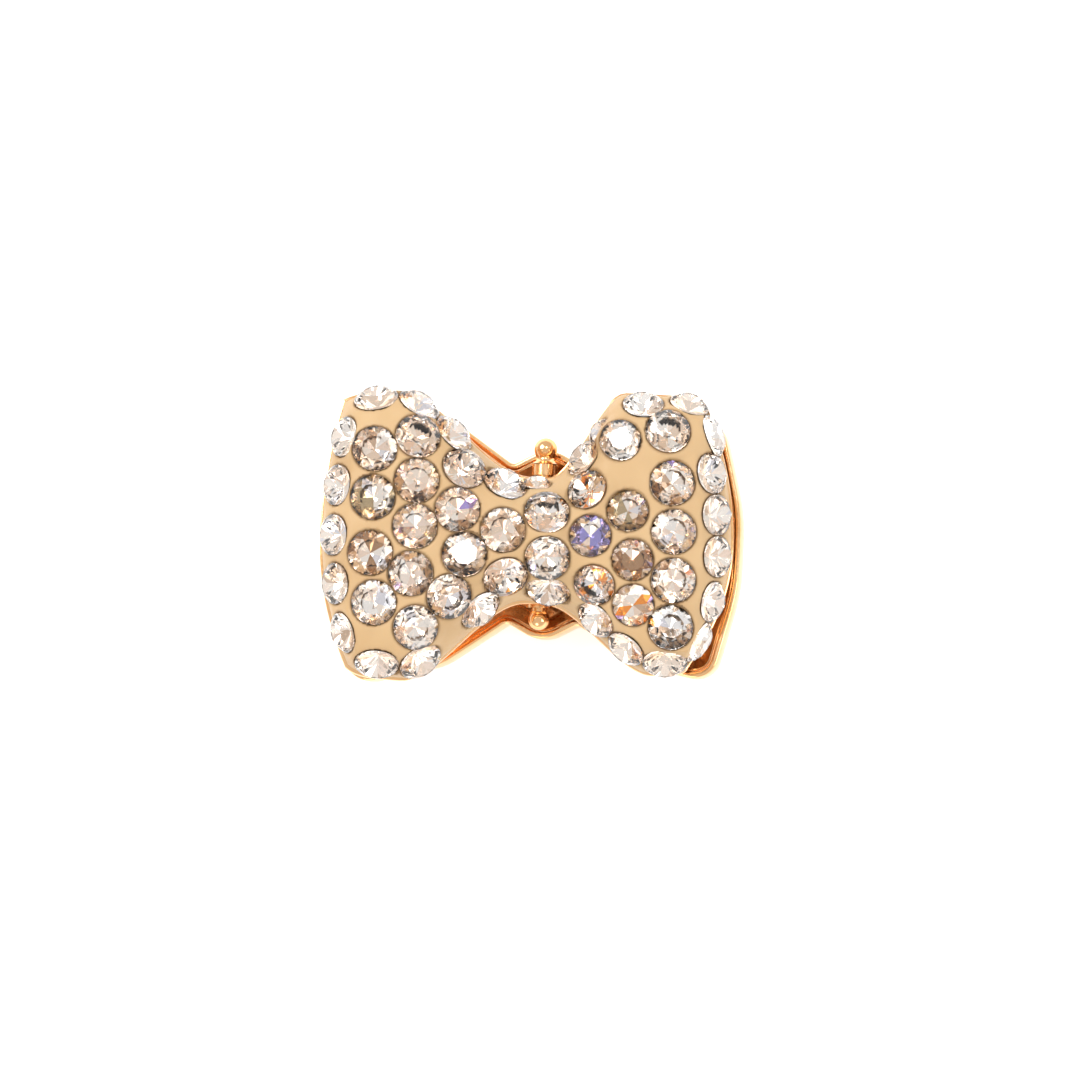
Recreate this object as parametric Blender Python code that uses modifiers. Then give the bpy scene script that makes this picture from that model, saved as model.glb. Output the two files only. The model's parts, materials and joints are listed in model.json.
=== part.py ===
"""Bow-shaped rhinestone hair clip: two cast jaws hinged on a pin across the waist of the bow.

The clip lies on the flat back of its back jaw. +X is the toothed end, Y is the pin, +Z is the
front. Metres, origin under the middle of the clip.
"""

from itertools import combinations
from math import acos, ceil, cos, hypot, pi, radians, sin, sqrt, tan

import bmesh
import bpy
from mathutils import Matrix, Vector

MM = 0.001

# Hinge
PIN_X = 0.58 * MM
PIN_Z = 4.15 * MM
PIN_RADIUS = 0.5 * MM
PIN_CLEARANCE = 0.05 * MM
BARREL_RADIUS = 0.85 * MM
RIM_TO_PIN = 1.15 * MM
REST_ANGLE = radians(9.5)
PIN_HEAD_RADIUS = 0.7 * MM
PIN_HEAD_Y = -4.95 * MM
PIN_TIP_Y = 6.05 * MM
CAP_RADIUS = 0.76 * MM
CAP_CLEARANCE = 0.025 * MM
LUG_HALF_WIDTH = 0.75 * MM
BACK_LUG_SPANS = ((-4.25 * MM, -3.55 * MM), (4.35 * MM, 5.05 * MM))
FRONT_LUG_SPANS = ((-3.2 * MM, -2.3 * MM), (2.3 * MM, 3.2 * MM))
LUG_ROOT_Z = 0.7 * MM
FRONT_LUG_DEPTH = 0.4 * MM

# Teeth, by place from the pin and height on the bow
TOOTH_HALF_WIDTH = 0.55 * MM
TOOTH_NARROWING = 0.7
BACK_TEETH_X = (7.9 * MM, 8.9 * MM)
BACK_TEETH_Y = (-6.0 * MM, -3.0 * MM, 0.0, 3.0 * MM, 6.0 * MM)
BACK_TEETH_TOP = -0.3 * MM
FRONT_TEETH_X = (8.0 * MM, 9.0 * MM)
FRONT_TEETH_Y = (-4.5 * MM, -1.5 * MM, 1.5 * MM, 4.5 * MM)
FRONT_TEETH_TIP = -0.8 * MM
FRONT_TEETH_ROOT = 3.4 * MM

# Lengths of the bow from the pin to each end
BACK_LONG_END = 13.6 * MM
BACK_TOOTHED_END = 12.75 * MM
FRONT_LONG_END = 14.1 * MM
FRONT_TOOTHED_END = 12.1 * MM

# Front bow in plan. Its four lobe quarters differ, and are keyed by (long end, upper side).
WAIST_HALF_HEIGHT = 3.9 * MM
WAIST_FLAT_LONG = 0.9 * MM
WAIST_FLAT_TOOTHED = 0.2 * MM
LOBE_HEIGHTS = {
    (True, True): 9.1 * MM,
    (True, False): 9.2 * MM,
    (False, True): 9.6 * MM,
    (False, False): 8.2 * MM,
}
# Length of the slope from the waist to the full lobe
LOBE_RUNS = {
    (True, True): 8.8 * MM,
    (True, False): 8.0 * MM,
    (False, True): 4.8 * MM,
    (False, False): 7.4 * MM,
}
# How far the end of the bow curves back at the lobe's corner
END_BULGES = {
    (True, True): 1.1 * MM,
    (True, False): 2.0 * MM,
    (False, True): 2.0 * MM,
    (False, False): 2.6 * MM,
}
CORNER_TAPER = 0.08
CORNER_SHARPNESS = 8

# Back jaw, a tray. Its corners and shoulders are (place along the bow, half height).
TRAY_LONG_CORNER = (12.6 * MM, 9.6 * MM)
TRAY_LONG_SHOULDER = (6.4 * MM, 8.0 * MM)
TRAY_TOOTHED_CORNER = (11.2 * MM, 8.6 * MM)
TRAY_TOOTHED_SHOULDER = (6.9 * MM, 7.75 * MM)
TRAY_NOTCH = (2.3 * MM, 5.15 * MM)
TRAY_KNOT_HALF_HEIGHT = 6.4 * MM
TRAY_WALL_START = 1.2 * MM
TRAY_CORNER = 1.6 * MM
TRAY_FLOOR_Z = 1.0 * MM
TRAY_END_Y = 2.5 * MM
TRAY_END_ROUND = 12 * MM
TRAY_SHOULDER_ROUND = 4.0 * MM
TRAY_NOTCH_ROUND = 0.5 * MM
TRAY_KNOT_ROUND = 2.2 * MM
# Steps (inset, fall) that round the tray's bottom edge
TRAY_BOTTOM_STEPS = ((0.15 * MM, 0.55 * MM), (0.35 * MM, 0.4 * MM), (0.5 * MM, 0.25 * MM))
RIM_ROUND = 0.12 * MM
RIM_WIDTH = 0.33 * MM
RIM_LIP = (0.06 * MM, 0.12 * MM)
RIM_SLOPE = (0.8 * MM, 1.1 * MM)
FLOOR_DRAFT = 0.1 * MM

# Front jaw, a shell with a flange, and the clay on it
DOME_RISE = 3.3 * MM
DOME_CROWN = 0.6 * MM
DOME_SHOULDER = 3.0 * MM
FLANGE_THICKNESS = 0.5 * MM
FLANGE_OVERHANG = 0.2 * MM
DOME_SKIRT = 0.2 * MM
CLAY_THICKNESS = 1.2 * MM
CLAY_GAP = 0.05 * MM
SHELL_GAP = 0.1 * MM
SHELL_THICKNESS = 0.8 * MM

# Rhinestones
STONE_RADIUS = 1.42 * MM
STONE_TABLE_RADIUS = 0.85 * MM
STONE_CROWN = 0.5 * MM
STONE_GIRDLE = 0.14 * MM
STONE_PAVILION = 0.8 * MM
CULET_RADIUS = 0.25 * MM
STONE_SIDES = 8
POCKET_CLEARANCE = 0.05 * MM
POCKET_TOP = 1.2 * MM
STONE_EDGE_ROOM = 0.5 * MM
STONE_SPACING = 0.05 * MM
SETTLING_ROUNDS = 120

# Spring
WIRE_RADIUS = 0.25 * MM
COIL_RADIUS = 1.05 * MM
COIL_HALF_WIDTH = 1.45 * MM
COIL_TURNS = 5
COIL_POINTS_PER_TURN = 12
LEG_LENGTH = 6.9 * MM
LEG_CLEARANCE = 0.05 * MM
UPPER_LEG_Z = 3.55 * MM

# Columns of stones from the long end to the toothed end: place along the bow, lean, size as a
# share of the full stone, and heights.
STONE_COLUMNS = (
    (-13.35, 0.00, 0.92, (5.9, 2.8, -0.4, -3.5, -6.6)),
    (-10.85, -0.03, 1.00, (8.45, 5.1, 2.0, -1.6, -4.7, -8.5)),
    (-8.05, -0.03, 1.00, (8.9, 6.5, 3.5, 0.3, -2.9, -6.3, -8.75)),
    (-5.25, -0.08, 1.00, (7.45, 4.95, 1.9, -1.3, -4.6, -7.3)),
    (-2.60, 0.00, 1.00, (3.35, 0.2, -3.1)),
    (0.25, -0.05, 1.00, (1.5, -1.7, -3.8)),
    (3.00, -0.12, 0.92, (5.2, 3.1, 0.1, -3.0, -5.7)),
    (5.55, -0.14, 0.92, (6.3, 1.8, -1.3, -4.3, -7.4)),
    (8.30, -0.05, 1.00, (7.1, 3.7, 0.6, -2.5, -5.5, -8.3)),
    (11.15, -0.06, 0.92, (5.4, 2.4, -0.7, -3.8)),
    (10.70, 0.00, 1.00, (-6.6, 7.9)),
    (6.20, 0.00, 0.92, (8.75,)),
)
# A last row runs at an even pitch along the top of the toothed lobe.
TOP_ROW_COUNT = 1
TOP_ROW_START = 10.8
TOP_ROW_PITCH = 2.7
TOP_ROW_HEIGHT = 9.0
TOP_ROW_SIZE = 0.9


def clear_scene():
    for item in list(bpy.data.objects):
        bpy.data.objects.remove(item, do_unlink=True)


def new_collection(name):
    collection = bpy.data.collections.new(name)
    bpy.context.scene.collection.children.link(collection)
    return collection


def new_material(name, colour, roughness, metallic):
    material = bpy.data.materials.new(name)
    material.use_nodes = True
    shader = material.node_tree.nodes["Principled BSDF"]
    shader.inputs["Base Color"].default_value = (*colour, 1.0)
    shader.inputs["Roughness"].default_value = roughness
    shader.inputs["Metallic"].default_value = metallic
    return material


def gold_material():
    return new_material("gold_plate", (0.86, 0.52, 0.26), 0.18, 1.0)


def clay_material():
    return new_material("setting_clay", (0.74, 0.53, 0.31), 0.55, 0.0)


def stone_material():
    return new_material("foiled_glass", (0.86, 0.76, 0.68), 0.05, 0.3)


def wire_material():
    return new_material("spring_wire", (0.62, 0.60, 0.57), 0.3, 1.0)


def add_object(name, mesh, collection, material=None, parent=None):
    item = bpy.data.objects.new(name, mesh)
    collection.objects.link(item)
    if material is not None and not mesh.materials:
        mesh.materials.append(material)
    item.parent = parent
    return item


def mesh_from(bm, name):
    bmesh.ops.recalc_face_normals(bm, faces=bm.faces)
    mesh = bpy.data.meshes.new(name)
    bm.to_mesh(mesh)
    bm.free()
    return mesh


def boolean(target, tool, operation):
    """Join or cut the target with a tool that stays hidden."""
    modifier = target.modifiers.new(tool.name, "BOOLEAN")
    modifier.operation = operation
    modifier.solver = "EXACT"
    modifier.use_self = True
    modifier.object = tool
    tool.hide_render = True
    tool.display_type = "WIRE"


def rounded_outline(corners, step=radians(24)):
    """Points round a closed outline whose corners (x, y, radius) become arcs."""
    points = []
    count = len(corners)
    for i in range(count):
        x, y, radius = corners[i]
        corner = Vector((x, y))
        before = (Vector(corners[i - 1][:2]) - corner).normalized()
        after = (Vector(corners[(i + 1) % count][:2]) - corner).normalized()
        turn = pi - before.angle(after)
        middle = corner + (before + after).normalized() * (radius / cos(turn / 2))
        start = corner + before * radius * tan(turn / 2) - middle
        side = 1 if before.cross(after) < 0 else -1
        pieces = max(2, ceil(turn / step))
        for k in range(pieces + 1):
            angle = side * turn * k / pieces
            spoke = Matrix.Rotation(angle, 2) @ start
            points.append(middle + spoke)
    return points


def inset_steps(bm, face, steps):
    """Step a flat face inwards: each step is an inset and a rise along the face's normal."""
    for inset, rise in steps:
        bmesh.ops.inset_region(
            bm, faces=[face], thickness=inset, depth=rise, use_even_offset=True
        )


def prism(bm, points, z_low, z_high):
    """Upright prism on an outline. Returns its bottom and top faces."""
    bottom = bm.faces.new([bm.verts.new((p.x, p.y, z_low)) for p in points])
    bottom.normal_update()
    if bottom.normal.z > 0:
        bottom.normal_flip()
    grown = bmesh.ops.extrude_face_region(bm, geom=[bottom], use_keep_orig=True)
    top = next(part for part in grown["geom"] if isinstance(part, bmesh.types.BMFace))
    bmesh.ops.translate(bm, verts=top.verts, vec=(0, 0, z_high - z_low))
    bmesh.ops.recalc_face_normals(bm, faces=bm.faces)
    return bottom, top


def tray_outline():
    """The back jaw's outline: two lobes, the notches beside the waist and the knot between."""
    toothed_corner_x, toothed_corner_y = TRAY_TOOTHED_CORNER
    toothed_shoulder_x, toothed_shoulder_y = TRAY_TOOTHED_SHOULDER
    long_corner_x, long_corner_y = TRAY_LONG_CORNER
    long_shoulder_x, long_shoulder_y = TRAY_LONG_SHOULDER
    notch_x, notch_y = TRAY_NOTCH
    upper = [
        (BACK_TOOTHED_END, TRAY_END_Y, TRAY_END_ROUND),
        (toothed_corner_x, toothed_corner_y, TRAY_CORNER),
        (toothed_shoulder_x, toothed_shoulder_y, TRAY_SHOULDER_ROUND),
        (notch_x, notch_y, TRAY_NOTCH_ROUND),
        (0.0, TRAY_KNOT_HALF_HEIGHT, TRAY_KNOT_ROUND),
        (-notch_x, notch_y, TRAY_NOTCH_ROUND),
        (-long_shoulder_x, long_shoulder_y, TRAY_SHOULDER_ROUND),
        (-long_corner_x, long_corner_y, TRAY_CORNER),
        (-BACK_LONG_END, TRAY_END_Y, TRAY_END_ROUND),
    ]
    lower = [(x, -y, radius) for x, y, radius in reversed(upper)]
    return rounded_outline(upper + lower)


def tray_mesh():
    rim_z = PIN_Z - RIM_TO_PIN
    bm = bmesh.new()
    bottom, top = prism(bm, tray_outline(), TRAY_WALL_START, rim_z - RIM_ROUND)
    inset_steps(bm, bottom, TRAY_BOTTOM_STEPS)
    lip_inset, lip_drop = RIM_LIP
    slope_inset, slope_drop = RIM_SLOPE
    floor_drop = rim_z - TRAY_FLOOR_Z - lip_drop - slope_drop
    inset_steps(bm, top, (
        (RIM_ROUND, RIM_ROUND),
        (RIM_WIDTH, 0.0),
        (lip_inset, -lip_drop),
        (slope_inset, -slope_drop),
        (FLOOR_DRAFT, -floor_drop),
    ))
    return mesh_from(bm, "back_jaw")


def add_block(bm, low, high, tip_scale=1.0, tip="top"):
    """Box between two corners. Its top or bottom end may be narrower than the other."""
    low, high = Vector(low), Vector(high)
    middle, size = (low + high) / 2, high - low
    made = bmesh.ops.create_cube(bm, size=1.0, matrix=Matrix.LocRotScale(middle, None, size))
    for vert in made["verts"]:
        above = vert.co.z > middle.z
        if above == (tip == "top"):
            vert.co.x = middle.x + (vert.co.x - middle.x) * tip_scale
            vert.co.y = middle.y + (vert.co.y - middle.y) * tip_scale


def add_barrel(bm, radius, y_low, y_high, segments=20):
    """Cylinder along Y on the pin's axis."""
    place = Matrix.Translation((0, (y_low + y_high) / 2, 0)) @ Matrix.Rotation(pi / 2, 4, "X")
    bmesh.ops.create_cone(
        bm, cap_ends=True, segments=segments, radius1=radius, radius2=radius,
        depth=y_high - y_low, matrix=place,
    )


def lug_tools(name, cutters, parent, spans, block_z):
    """Blocks, barrels and the bore of a pair of hinge lugs, as three tools."""
    blocks, barrels, bore = bmesh.new(), bmesh.new(), bmesh.new()
    for y_low, y_high in spans:
        low = (-LUG_HALF_WIDTH, y_low, block_z[0])
        high = (LUG_HALF_WIDTH, y_high, block_z[1])
        add_block(blocks, low, high)
        add_barrel(barrels, BARREL_RADIUS, y_low, y_high)
    add_barrel(bore, PIN_RADIUS + PIN_CLEARANCE, 2 * spans[0][0], 2 * spans[1][1])
    tools = []
    for label, bm in (("blocks", blocks), ("barrels", barrels), ("bore", bore)):
        tool_name = f"{name}_{label}"
        tools.append(add_object(tool_name, mesh_from(bm, tool_name), cutters, parent=parent))
    return tools


def add_lugs(jaw, tools):
    blocks, barrels, bore = tools
    boolean(jaw, blocks, "UNION")
    boolean(jaw, barrels, "UNION")
    boolean(jaw, bore, "DIFFERENCE")


def add_teeth(jaw, cutters, parent, heights, x_range, z_range, tip):
    """A row of narrowing teeth cast in one with the jaw."""
    bm = bmesh.new()
    for y in heights:
        low = (x_range[0], y - TOOTH_HALF_WIDTH, z_range[0])
        high = (x_range[1], y + TOOTH_HALF_WIDTH, z_range[1])
        add_block(bm, low, high, TOOTH_NARROWING, tip)
    name = f"{jaw.name}_teeth"
    boolean(jaw, add_object(name, mesh_from(bm, name), cutters, parent=parent), "UNION")


def end_length(x):
    """Length of the front bow from the pin to the end that a place belongs to."""
    return FRONT_LONG_END if x < 0 else FRONT_TOOTHED_END


def bow_share(x, upper):
    """How far a place is from the waist (0) to the full lobe (1)."""
    flat = WAIST_FLAT_LONG if x < 0 else WAIST_FLAT_TOOTHED
    return min(max((abs(x) - flat) / LOBE_RUNS[(x < 0, upper)], 0.0), 1.0)


def half_height(x, upper):
    """Height of the front bow above or below its middle line, at a place along it."""
    t = bow_share(x, upper)
    growth = LOBE_HEIGHTS[(x < 0, upper)] - WAIST_HALF_HEIGHT
    full = WAIST_HALF_HEIGHT + growth * t * t * (3 - 2 * t)
    return full * (1 - CORNER_TAPER * (x / end_length(x)) ** CORNER_SHARPNESS)


def edge_stretch(x, upper):
    """How much longer a step square to the bow's slanting edge is when measured along Y."""
    t = bow_share(x, upper)
    growth = LOBE_HEIGHTS[(x < 0, upper)] - WAIST_HALF_HEIGHT
    return hypot(1, growth * 6 * t * (1 - t) / LOBE_RUNS[(x < 0, upper)])


def shoulder(distance, width):
    """Quarter-round rise from 0 at an edge to 1 at the shoulder's width."""
    t = min(max(distance / width, 0.0), 1.0)
    return sqrt(1 - (1 - t) ** 2)


def dome_point(u, v, grow=0.0):
    """Point of the front dome. u runs from end to end and v from side to side, both -1 to 1."""
    x = u * end_length(u)
    length = end_length(u) + grow
    stretch = edge_stretch(x, v > 0)
    height = half_height(x, v > 0) + grow * stretch
    along = abs(u) * length - END_BULGES[(u < 0, v > 0)] * u ** 4 * v * v
    width = DOME_SHOULDER + grow
    rise = DOME_RISE + grow + DOME_CROWN * (1 - v * v) * (1 - u * u)
    side = shoulder((1 - abs(v)) * height, width * stretch)
    z = rise * shoulder((1 - abs(u)) * length, width) * side
    base = RIM_TO_PIN + FLANGE_THICKNESS + DOME_SKIRT
    return Vector((along if u > 0 else -along, v * height, base + z))


def dome_normal(u, v):
    step, limit = 0.002, 0.997
    u, v = (max(-limit, min(limit, w)) for w in (u, v))
    across = dome_point(u, v + step) - dome_point(u, v - step)
    along = dome_point(u + step, v) - dome_point(u - step, v)
    return along.cross(across).normalized()


def dome_grid(bm, grow, columns=24, rows=12):
    """The dome as a grid of vertices, closer together at its edges."""
    def spread(i, count):
        return sin(pi / 2 * (2 * i / count - 1))

    return [
        [bm.verts.new(dome_point(spread(i, columns), spread(j, rows), grow))
         for j in range(rows + 1)]
        for i in range(columns + 1)
    ]


def fill_grid(bm, grid):
    for left, right in zip(grid, grid[1:]):
        for j in range(len(left) - 1):
            bm.faces.new((left[j], right[j], right[j + 1], left[j + 1]))


def border(grid):
    """The grid's outer vertices in order."""
    last = len(grid) - 1
    ring = [grid[i][0] for i in range(last)]
    ring += grid[last][:-1]
    ring += [grid[i][-1] for i in range(last, 0, -1)]
    ring += grid[0][:0:-1]
    return ring


def join_rings(bm, ring, other):
    count = len(ring)
    for i in range(count):
        k = (i + 1) % count
        bm.faces.new((ring[i], ring[k], other[k], other[i]))


def ring_at(bm, ring, z):
    return [bm.verts.new((vert.co.x, vert.co.y, z)) for vert in ring]


def shell_mesh():
    """The front jaw's shell: hollow below, with a flange round its rim."""
    bm = bmesh.new()
    outer = dome_grid(bm, -CLAY_THICKNESS - SHELL_GAP)
    inner = dome_grid(bm, -CLAY_THICKNESS - SHELL_GAP - SHELL_THICKNESS)
    guide = dome_grid(bm, FLANGE_OVERHANG)
    rim_z, flange_z = RIM_TO_PIN, RIM_TO_PIN + FLANGE_THICKNESS
    flange_top = ring_at(bm, border(guide), flange_z)
    flange_bottom = ring_at(bm, border(guide), rim_z)
    mouth = ring_at(bm, border(inner), rim_z)
    bmesh.ops.delete(bm, geom=[vert for row in guide for vert in row], context="VERTS")
    fill_grid(bm, outer)
    fill_grid(bm, inner)
    foot = ring_at(bm, border(outer), flange_z)
    for ring, other in (
        (border(outer), foot),
        (foot, flange_top),
        (flange_top, flange_bottom),
        (flange_bottom, mouth),
        (mouth, border(inner)),
    ):
        join_rings(bm, ring, other)
    return mesh_from(bm, "front_jaw")


def clay_mesh():
    bm = bmesh.new()
    foot_z = RIM_TO_PIN + FLANGE_THICKNESS
    outer = dome_grid(bm, 0.0)
    inner = dome_grid(bm, -CLAY_THICKNESS)
    outer_foot = ring_at(bm, border(outer), foot_z)
    inner_foot = ring_at(bm, border(inner), foot_z)
    fill_grid(bm, outer)
    fill_grid(bm, inner)
    join_rings(bm, border(outer), outer_foot)
    join_rings(bm, outer_foot, inner_foot)
    join_rings(bm, inner_foot, border(inner))
    bmesh.ops.translate(bm, verts=bm.verts, vec=(0, 0, CLAY_GAP))
    return mesh_from(bm, "clay_bed")


def stone_place(spot):
    """Place and turn of a stone: its girdle lies on the clay and its table faces out."""
    x, y = spot
    u, v = x / end_length(x), y / half_height(x, y > 0)
    turn = dome_normal(u, v).to_track_quat("Z", "Y")
    return Matrix.LocRotScale(dome_point(u, v), turn, None)


def within_edges(x, y):
    """The spot, moved in from the bow's edges far enough for a stone."""
    x = max(STONE_EDGE_ROOM - FRONT_LONG_END, min(FRONT_TOOTHED_END - STONE_EDGE_ROOM, x))
    limit = half_height(x, y > 0) - STONE_EDGE_ROOM * edge_stretch(x, y > 0)
    return x, max(-limit, min(limit, y))


def push_apart(one, other, girdles):
    """Half of the slide, in plan, that would clear two stones whose girdles add up to this."""
    gap = other.translation - one.translation
    tilt = one.col[2].xyz.angle(other.col[2].xyz)
    lack = girdles * cos(tilt / 2) + STONE_SPACING - gap.length
    return gap.xy * (max(lack, 0.0) / gap.length / 2)


def stone_places():
    """Stones in their columns, slid apart on the dome where they would crowd."""
    spots, radii = [], []
    for x_middle, lean, size, heights in STONE_COLUMNS:
        spots += [within_edges((x_middle + lean * y) * MM, y * MM) for y in heights]
        radii += [size * STONE_RADIUS] * len(heights)
    for i in range(TOP_ROW_COUNT):
        x = TOP_ROW_START - i * TOP_ROW_PITCH
        spots.append(within_edges(x * MM, TOP_ROW_HEIGHT * MM))
        radii.append(TOP_ROW_SIZE * STONE_RADIUS)
    for _ in range(SETTLING_ROUNDS):
        places = [stone_place(spot) for spot in spots]
        slides = [Vector((0, 0)) for _ in spots]
        for i, k in combinations(range(len(spots)), 2):
            push = push_apart(places[i], places[k], radii[i] + radii[k])
            slides[i] -= push
            slides[k] += push
        spots = [within_edges(x + slide.x, y + slide.y) for (x, y), slide in zip(spots, slides)]
    return [
        stone_place(spot) @ Matrix.Scale(radius / STONE_RADIUS, 4)
        for spot, radius in zip(spots, radii)
    ]


def add_cut_gem(bm, place, rings):
    """A many-sided solid of revolution from (radius, height) rings, closed top and bottom."""
    loops = []
    for radius, height in rings:
        spokes = [2 * pi * (k + 0.5) / STONE_SIDES for k in range(STONE_SIDES)]
        loops.append([
            bm.verts.new(place @ Vector((radius * cos(a), radius * sin(a), height)))
            for a in spokes
        ])
    for ring, other in zip(loops, loops[1:]):
        join_rings(bm, ring, other)
    bm.faces.new(loops[0])
    bm.faces.new(list(reversed(loops[-1])))


def stone_mesh():
    half_girdle = STONE_GIRDLE / 2
    bm = bmesh.new()
    add_cut_gem(bm, Matrix.Identity(4), (
        (STONE_TABLE_RADIUS, half_girdle + STONE_CROWN),
        (STONE_RADIUS, half_girdle),
        (STONE_RADIUS, -half_girdle),
        (CULET_RADIUS, -half_girdle - STONE_PAVILION),
    ))
    return mesh_from(bm, "rhinestone")


def pocket_mesh(places):
    """What the stones press out of the clay."""
    girdle_z = -STONE_GIRDLE / 2 - POCKET_CLEARANCE
    bm = bmesh.new()
    for place in places:
        add_cut_gem(bm, place, (
            (STONE_RADIUS + POCKET_CLEARANCE, POCKET_TOP),
            (STONE_RADIUS + POCKET_CLEARANCE, girdle_z),
            (CULET_RADIUS + POCKET_CLEARANCE, girdle_z - STONE_PAVILION),
        ))
    return mesh_from(bm, "pockets")


def turned(name, profile, collection, material, steps=20):
    """Turned piece on the pin's axis. The profile runs down from its top end."""
    mesh = bpy.data.meshes.new(name)
    edges = [(i, i + 1) for i in range(len(profile) - 1)]
    mesh.from_pydata([(radius, 0, height) for radius, height in profile], edges, [])
    item = add_object(name, mesh, collection, material)
    screw = item.modifiers.new("turn", "SCREW")
    screw.axis = "Z"
    screw.steps = screw.render_steps = steps
    screw.use_merge_vertices = True
    screw.merge_threshold = 0.000001
    screw.use_smooth_shade = True
    item.rotation_euler = (-pi / 2, 0, 0)
    item.location = (PIN_X, 0, PIN_Z)
    return item


def ball_profile(radius, centre, from_angle, to_angle, pieces=9):
    """Points round the side of a ball, from one angle above its middle to another."""
    angles = [from_angle + (to_angle - from_angle) * k / pieces for k in range(pieces + 1)]
    return [(max(radius * cos(angle), 0.0), centre + radius * sin(angle)) for angle in angles]


def hinge_pin(collection, material):
    """The pin, headed with a ball at its lower end."""
    neck = acos(PIN_RADIUS / PIN_HEAD_RADIUS)
    profile = [(0.0, PIN_TIP_Y), (PIN_RADIUS, PIN_TIP_Y)]
    profile += ball_profile(PIN_HEAD_RADIUS, PIN_HEAD_Y, neck, -pi / 2)
    profile[-1] = (0.0, PIN_HEAD_Y - PIN_HEAD_RADIUS)
    return turned("hinge_pin", profile, collection, material)


def pin_cap(collection, material):
    """The ball pressed on the pin's upper end, with a blind bore."""
    bore_radius = PIN_RADIUS + CAP_CLEARANCE
    bore_end_y = PIN_TIP_Y + CAP_CLEARANCE
    profile = ball_profile(CAP_RADIUS, PIN_TIP_Y, pi / 2, -acos(bore_radius / CAP_RADIUS))
    profile[0] = (0.0, PIN_TIP_Y + CAP_RADIUS)
    profile += [(bore_radius, bore_end_y), (0.0, bore_end_y)]
    return turned("pin_cap", profile, collection, material)


def spring_points():
    """Wire path: one leg on the tray's floor, the coil round the pin, one leg under the shell."""
    floor = TRAY_FLOOR_Z - PIN_Z + WIRE_RADIUS + LEG_CLEARANCE
    points = [Vector((-LEG_LENGTH, -COIL_HALF_WIDTH, floor))]
    steps = int(COIL_POINTS_PER_TURN * (COIL_TURNS + 0.5))
    for k in range(steps + 1):
        share = k / steps
        angle = -pi / 2 + 2 * pi * (COIL_TURNS + 0.5) * share
        y = COIL_HALF_WIDTH * (2 * share - 1)
        points.append(Vector((COIL_RADIUS * cos(angle), y, COIL_RADIUS * sin(angle))))
    points.append(Vector((-LEG_LENGTH, COIL_HALF_WIDTH, UPPER_LEG_Z)))
    return points


def torsion_spring(collection, material):
    curve = bpy.data.curves.new("spring", "CURVE")
    curve.dimensions = "3D"
    curve.bevel_depth = WIRE_RADIUS
    curve.bevel_resolution = 2
    curve.use_fill_caps = True
    points = spring_points()
    spline = curve.splines.new("POLY")
    spline.points.add(len(points) - 1)
    for point, place in zip(spline.points, points):
        point.co = (*place, 1.0)
    curve.materials.append(material)
    item = bpy.data.objects.new("spring", curve)
    collection.objects.link(item)
    item.location = (PIN_X, 0, PIN_Z)
    return item


def hinge_empty(collection):
    """Carries the front jaw. It is turned so that the toothed ends nearly meet at rest."""
    empty = bpy.data.objects.new("jaw_hinge", None)
    collection.objects.link(empty)
    empty.location = (PIN_X, 0, PIN_Z)
    empty.rotation_euler = (0, REST_ANGLE, 0)
    return empty


def back_jaw(collection, cutters, material):
    jaw = add_object("back_jaw", tray_mesh(), collection, material)
    jaw.location.x = PIN_X
    seat = bpy.data.objects.new("pin_seat", None)
    cutters.objects.link(seat)
    seat.location = (PIN_X, 0, PIN_Z)
    root = LUG_ROOT_Z - PIN_Z
    add_teeth(jaw, cutters, seat, BACK_TEETH_Y, BACK_TEETH_X, (root, BACK_TEETH_TOP), "top")
    add_lugs(jaw, lug_tools("back_lugs", cutters, seat, BACK_LUG_SPANS, (root, 0.0)))


def front_jaw(collection, cutters, material, hinge):
    jaw = add_object("front_jaw", shell_mesh(), collection, material, hinge)
    teeth_z = (FRONT_TEETH_TIP, FRONT_TEETH_ROOT)
    add_teeth(jaw, cutters, hinge, FRONT_TEETH_Y, FRONT_TEETH_X, teeth_z, "bottom")
    lug_z = (0.0, RIM_TO_PIN + FRONT_LUG_DEPTH)
    add_lugs(jaw, lug_tools("front_lugs", cutters, hinge, FRONT_LUG_SPANS, lug_z))


def clay_bed(collection, cutters, material, hinge, places):
    bed = add_object("clay_bed", clay_mesh(), collection, material, hinge)
    pockets = add_object("pockets", pocket_mesh(places), cutters, parent=hinge)
    boolean(bed, pockets, "DIFFERENCE")


def rhinestones(collection, material, hinge, places):
    mesh = stone_mesh()
    for number, place in enumerate(places, 1):
        stone = add_object(f"rhinestone_{number:02d}", mesh, collection, material, hinge)
        stone.matrix_local = place


def build():
    clear_scene()
    clip = new_collection("rhinestone_hair_clip")
    cutters = new_collection("cutters")
    gold = gold_material()
    hinge = hinge_empty(clip)
    places = stone_places()
    back_jaw(clip, cutters, gold)
    front_jaw(clip, cutters, gold, hinge)
    clay_bed(clip, cutters, clay_material(), hinge, places)
    rhinestones(clip, stone_material(), hinge, places)
    hinge_pin(clip, gold)
    pin_cap(clip, gold)
    torsion_spring(clip, wire_material())


build()
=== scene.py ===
import json
import random
from math import asin, ceil, cos, pi, radians, sin, sqrt, tan

import bmesh
import bpy
import numpy as np
from mathutils import Matrix, Vector, noise


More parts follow.
